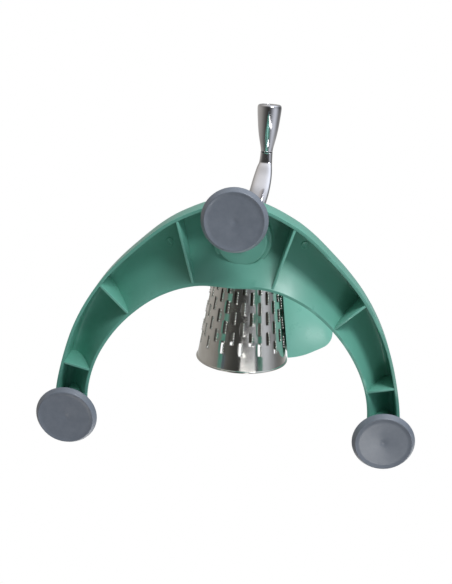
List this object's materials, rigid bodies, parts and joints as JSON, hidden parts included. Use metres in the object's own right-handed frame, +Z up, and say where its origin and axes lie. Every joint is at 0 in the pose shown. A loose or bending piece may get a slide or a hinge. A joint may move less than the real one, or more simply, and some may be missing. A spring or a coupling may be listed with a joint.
{
  "type": "rotary cheese grater",
  "caption": "Table-top rotary grater: arch-shaped plastic base on suction feet, leaning column, side hopper with pusher, conical steel drum and hand crank.",
  "frame": {"origin": "on the table, under the middle of the box around the whole object", "axes": "+Z up; -Y is the front, where the drum opens and the two front feet stand; the hopper stands on the -X side of the drum"},
  "size_m": [0.312, 0.2544, 0.2762],
  "materials": {
    "base_plastic": "moulded, satin inside",
    "body_plastic": "moulded, soft gloss",
    "cup_plastic": "smooth, satin",
    "screw_steel": "zinc plated",
    "shaft_steel": "turned",
    "bush_nylon": "natural nylon",
    "crank_chrome": "bright plated",
    "drum_steel": "bright stainless sheet"
  },
  "bodies": {
    "root": {"base_arch": "base_plastic", "rear_suction_cup": "cup_plastic", "left_suction_cup": "cup_plastic", "right_suction_cup": "cup_plastic", "foot_studs": "screw_steel", "column": "body_plastic", "head_rear_cover": "body_plastic", "cover_screws": "screw_steel", "column_bolt": "screw_steel", "front_bush": "bush_nylon", "rear_bush": "bush_nylon", "thrust_washer": "bush_nylon", "hopper": "body_plastic", "hopper_screws": "screw_steel"},
    "pusher": {"pusher_plate": "body_plastic", "pusher_knob": "body_plastic"},
    "crank": {"drive_shaft": "shaft_steel", "shaft_clip": "screw_steel", "drive_coupling": "bush_nylon", "crank_arm": "crank_chrome", "crank_screw": "screw_steel", "grip_spindle": "shaft_steel"},
    "grip": {"crank_grip": "crank_chrome", "grip_end_cap": "crank_chrome"},
    "drum": {"drum_cone": "drum_steel", "drum_end_plate": "drum_steel", "drum_rivets": "screw_steel"},
    "lock_knob": {"drum_lock_knob": "cup_plastic"}
  },
  "joints": [
    {"name": "crank_spin", "type": "hinge", "parent": "root", "child": "crank", "pos_m": [-0.005, -0.00852, 0.164], "axis": [0, 0.9962, 0.0872], "continuous": true},
    {"name": "grip_spin", "type": "hinge", "parent": "crank", "child": "grip", "pos_m": [-0.01389, 0.08016, 0.24044], "axis": [0, 0.9962, 0.0872], "continuous": true},
    {"name": "drum_pull", "type": "slide", "parent": "crank", "child": "drum", "axis": [0, -0.9962, -0.0872], "range_m": [0, 0.11]},
    {"name": "lock_turn", "type": "hinge", "parent": "drum", "child": "lock_knob", "pos_m": [-0.005, -0.02844, 0.16226], "axis": [0, 0.9962, 0.0872], "continuous": true},
    {"name": "pusher_slide", "type": "slide", "parent": "root", "child": "pusher", "axis": [0, -0.0872, 0.9962], "range_m": [0, 0.08]}
  ]
}
